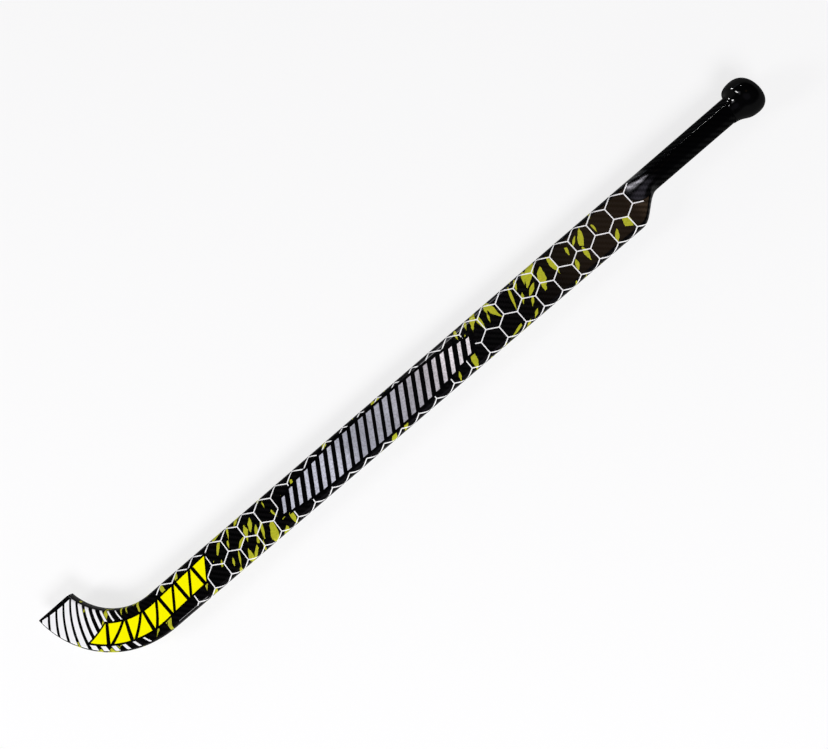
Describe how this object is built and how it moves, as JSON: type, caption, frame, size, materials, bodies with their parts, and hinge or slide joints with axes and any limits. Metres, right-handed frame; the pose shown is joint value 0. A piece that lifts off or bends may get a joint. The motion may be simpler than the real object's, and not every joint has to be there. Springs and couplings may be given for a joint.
{
  "type": "hockey goalkeeper stick",
  "caption": "Flat goalkeeper's stick for rink hockey: a constant-width blade with a turned-up toe, a round handle flush with one edge and a mushroom knob.",
  "frame": {"origin": "Under the middle of the whole stick's box, on the surface it is laid on.", "axes": "+X runs along the shaft towards the knob, +Y points the way the toe turns up, and +Z is square to the face, up from the surface."},
  "size_m": [0.98, 0.109, 0.0438],
  "materials": {
    "carbon_laminate": "clear-coated black carbon twill with printed white honeycomb lines, yellow and lime blocks and pale silver foil",
    "bare_fibre": "uncoated unidirectional carbon, satin",
    "core_foam": "fine-celled rigid foam, matt",
    "ash_wood": "bare sawn ash, fine straight grain",
    "coated_knob": "deep gloss black, slightly uneven as a brushed coat"
  },
  "bodies": {
    "root": {"front_shell": "carbon_laminate", "back_shell": "carbon_laminate", "toe_insert": "ash_wood", "lower_edge_tow": "bare_fibre", "upper_edge_tow": "bare_fibre", "centre_rib": "bare_fibre", "lower_toe_core": "core_foam", "upper_toe_core": "core_foam", "lower_shaft_core": "core_foam", "upper_shaft_core": "core_foam", "shoulder_core": "core_foam", "handle_liner": "bare_fibre", "knob_plug": "ash_wood", "knob": "coated_knob"}
  },
  "joints": []
}
